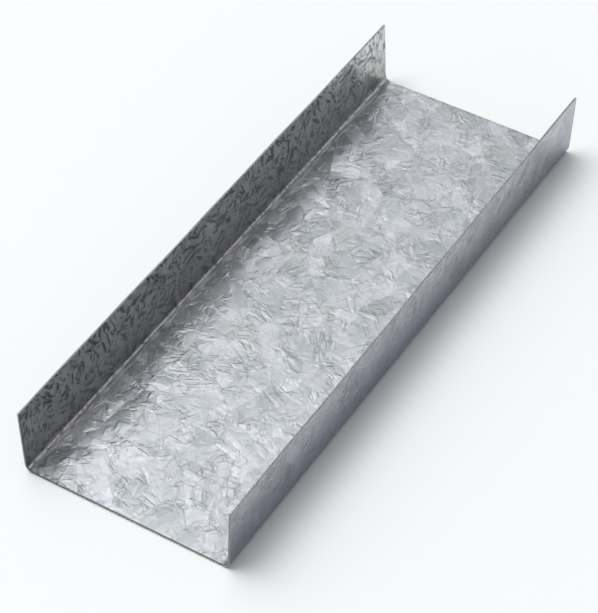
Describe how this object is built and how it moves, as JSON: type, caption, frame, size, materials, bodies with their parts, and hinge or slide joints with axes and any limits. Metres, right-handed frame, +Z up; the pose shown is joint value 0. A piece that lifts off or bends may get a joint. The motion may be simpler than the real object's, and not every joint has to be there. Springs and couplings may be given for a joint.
{
  "type": "light gauge steel track",
  "caption": "Short length of light gauge steel track: a roll-formed galvanised U channel with a flat web and plain flanges, fixed to a floor or ceiling to hold the ends of wall studs.",
  "frame": {"origin": "centre of the web's underside, on the floor that the track lies on", "axes": "+X across the web, +Y along the length, +Z up to the open side of the channel"},
  "size_m": [0.0962, 0.275, 0.0318],
  "materials": {
    "galvanised_sheet": "hot-dip galvanised, spangled, semi-gloss"
  },
  "bodies": {
    "root": {"track": "galvanised_sheet"}
  },
  "joints": []
}
